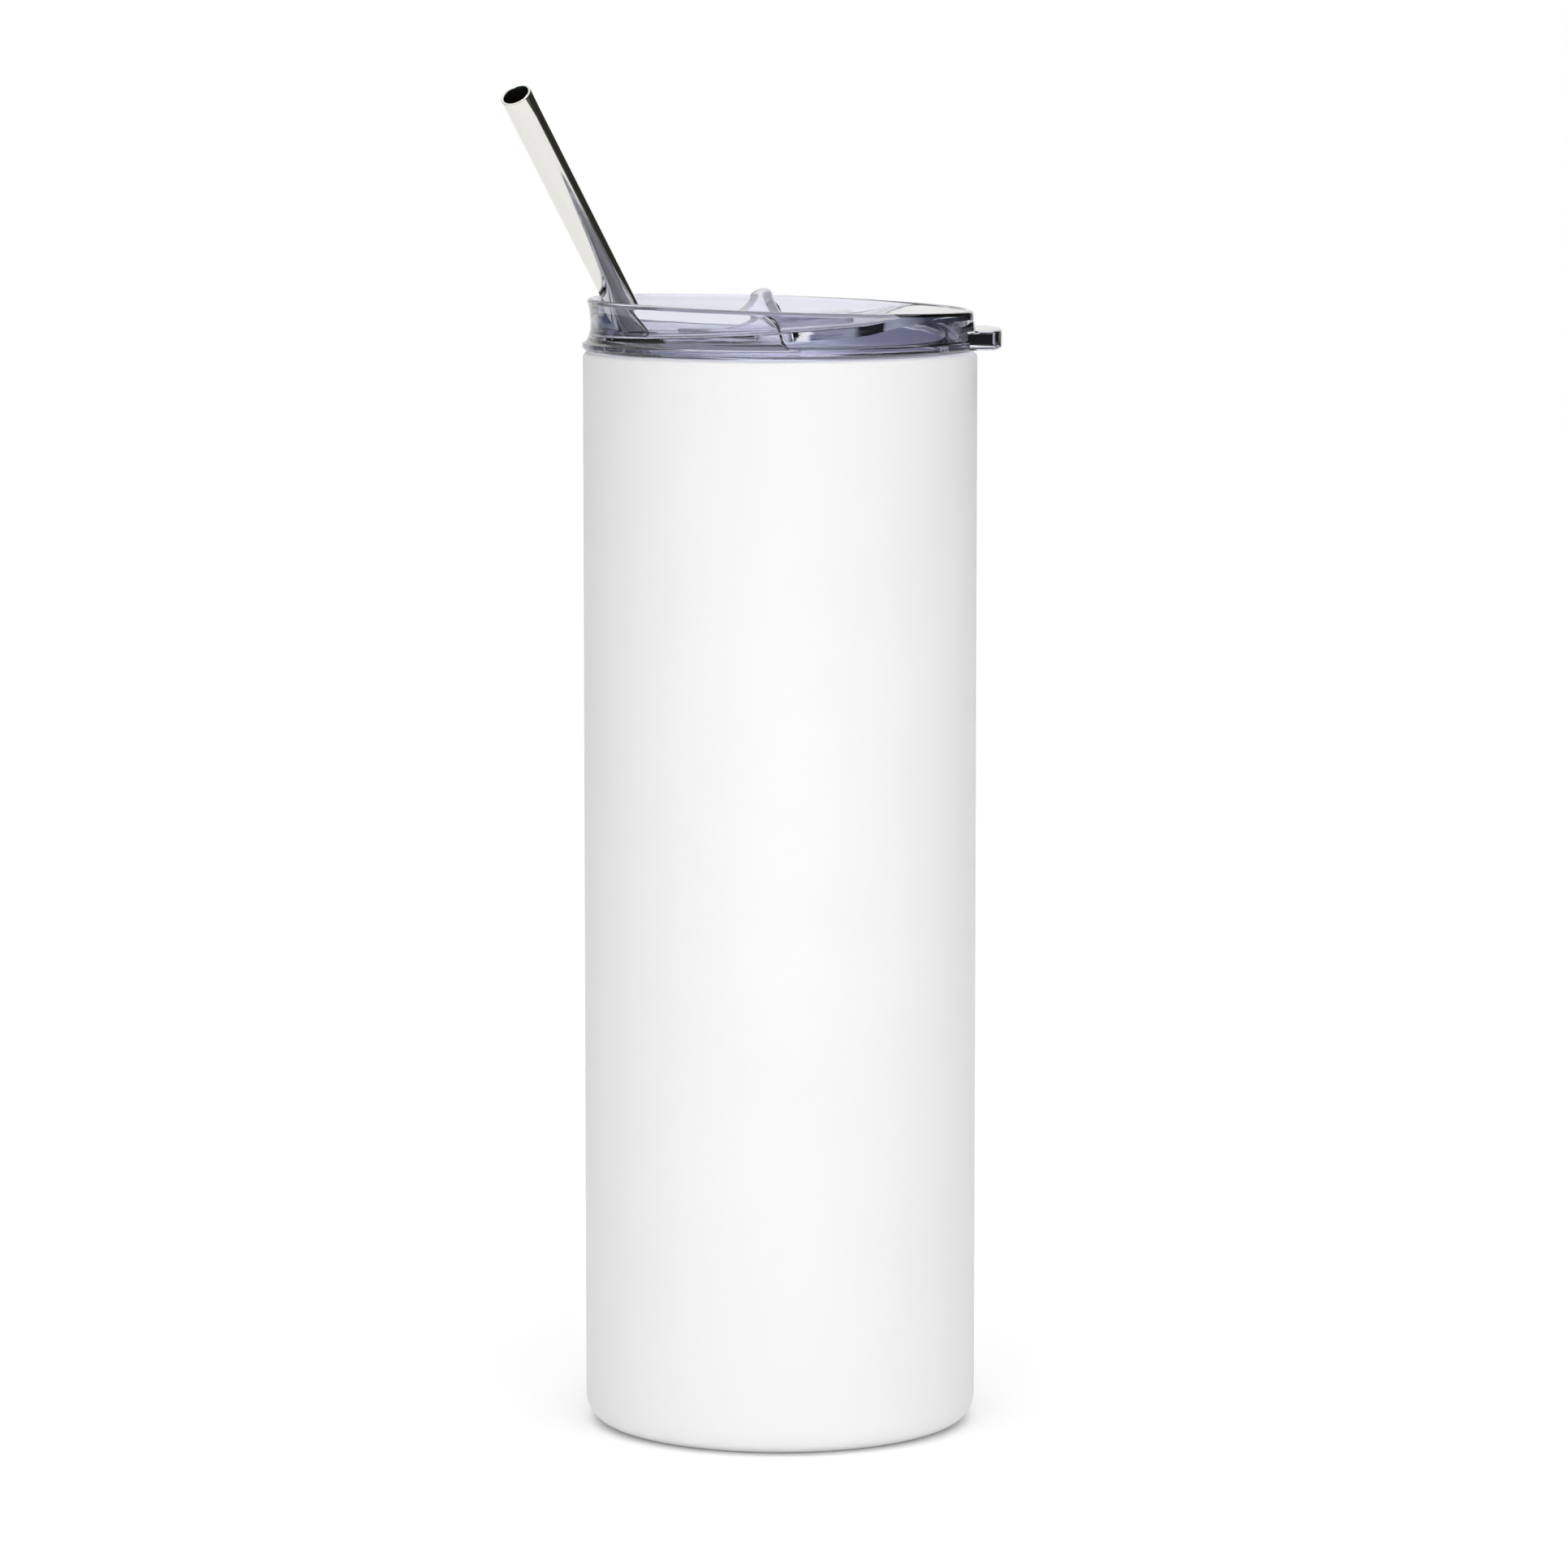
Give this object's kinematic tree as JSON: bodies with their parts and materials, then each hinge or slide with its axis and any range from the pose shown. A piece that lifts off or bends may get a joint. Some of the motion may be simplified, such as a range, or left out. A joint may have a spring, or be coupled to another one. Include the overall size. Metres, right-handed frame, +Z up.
{
  "type": "insulated tumbler with slider lid and straw",
  "caption": "Tall white double-wall steel drinking tumbler with a clear press-in slider lid, a pull tab and a bent metal straw.",
  "frame": {"origin": "middle of the base, on the plane that the foot ring stands on", "axes": "+Z up along the cup, +X towards the lid's pull tab, -X towards the drinking lip and the straw"},
  "size_m": [0.0912, 0.0732, 0.2502],
  "materials": {
    "white_coat": "satin white polymer coat",
    "bare_steel": "electropolished stainless steel",
    "plate_steel": "pressed stainless sheet",
    "solder_glass": "dark solder glass",
    "getter_alloy": "sintered getter alloy",
    "cover_steel": "brushed stainless steel",
    "clear_lid": "clear moulded plastic, faint lilac tint",
    "clear_silicone": "translucent silicone",
    "clear_slider": "clear moulded plastic, faint lilac tint",
    "clear_retainer": "clear moulded plastic",
    "polished_steel": "polished stainless steel"
  },
  "bodies": {
    "cup": {"outer_shell": "white_coat", "inner_liner": "bare_steel", "liner_base": "bare_steel", "vacuum_plate": "plate_steel", "solder_bead": "solder_glass", "getter_pellet": "getter_alloy", "getter_strap": "plate_steel", "base_cover": "cover_steel"},
    "lid": {"lid_body": "clear_lid", "lid_seal": "clear_silicone"},
    "slider": {"slider": "clear_slider", "slider_retainer": "clear_retainer"},
    "straw": {"straw": "polished_steel"}
  },
  "joints": [
    {"name": "lid_lift", "type": "slide", "parent": "cup", "child": "lid", "axis": [0, 0, 1], "range_m": [0, 0.2]},
    {"name": "slider_slide", "type": "slide", "parent": "lid", "child": "slider", "axis": [0.9976, 0, 0.0695], "range_m": [-0.0045, 0]},
    {"name": "straw_pull", "type": "slide", "parent": "lid", "child": "straw", "axis": [0, 0, 1], "range_m": [0, 0.2]}
  ]
}
